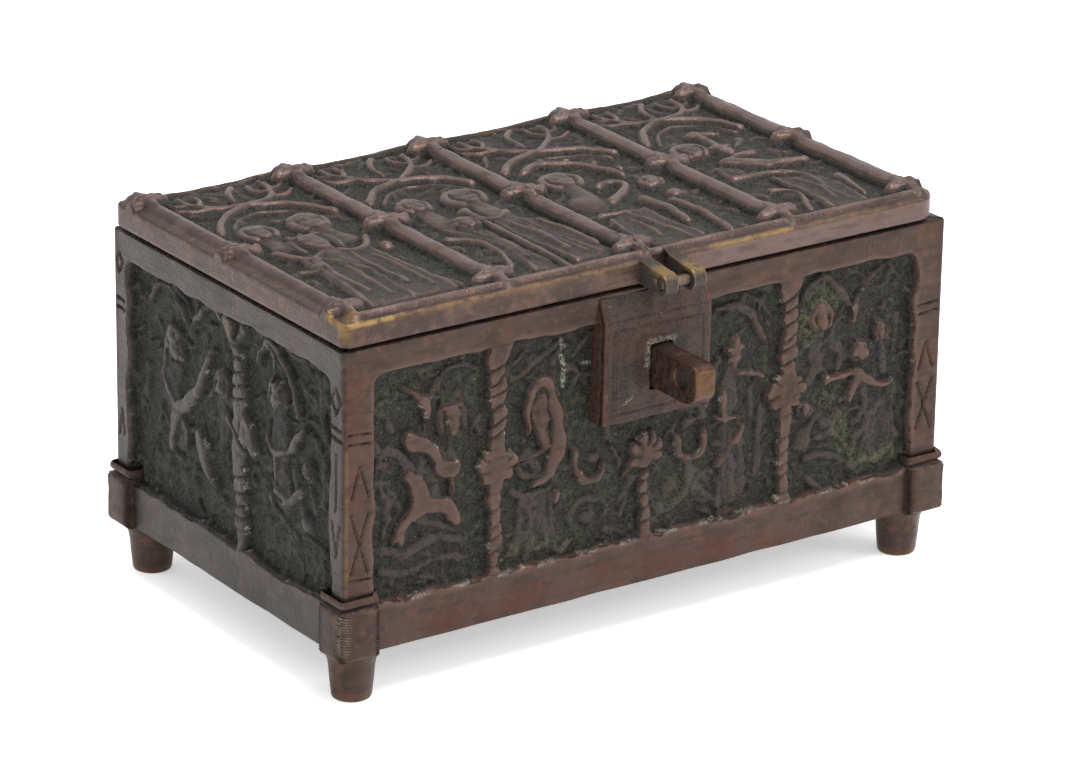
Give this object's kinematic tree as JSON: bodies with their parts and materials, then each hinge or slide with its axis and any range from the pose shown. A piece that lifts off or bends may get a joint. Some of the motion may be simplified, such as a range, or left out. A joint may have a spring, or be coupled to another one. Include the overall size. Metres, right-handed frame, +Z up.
{
  "type": "reliquary casket",
  "caption": "Small cast bronze casket on four feet, with relief panels, a ribbed hinged lid, and a pierced staple for a padlock.",
  "frame": {"origin": "centre of the whole part's footprint, from the staple's tip to the back of the hinge, at the undersides of the feet", "axes": "+X to the right along the front, +Y from the front to the hinge, +Z up"},
  "size_m": [0.135, 0.0986, 0.074],
  "materials": {
    "dark_bronze": "dark brown cast bronze, green-black in the recesses",
    "lid_bronze": "brown cast bronze, worn to brass at the front edge",
    "red_bronze": "reddish brown bronze, filed",
    "pin_bronze": "worn bronze wire"
  },
  "bodies": {
    "casket": {"casket_body": "dark_bronze", "padlock_staple": "red_bronze", "hinge_pin_left": "pin_bronze", "hinge_pin_right": "pin_bronze"},
    "lid": {"casket_lid": "lid_bronze", "hasp_pin": "pin_bronze"}
  },
  "joints": [
    {"name": "lid_hinge", "type": "hinge", "parent": "casket", "child": "lid", "pos_m": [0, 0.047, 0.0671], "axis": [-1, 0, 0], "range_deg": [0, 105]}
  ]
}
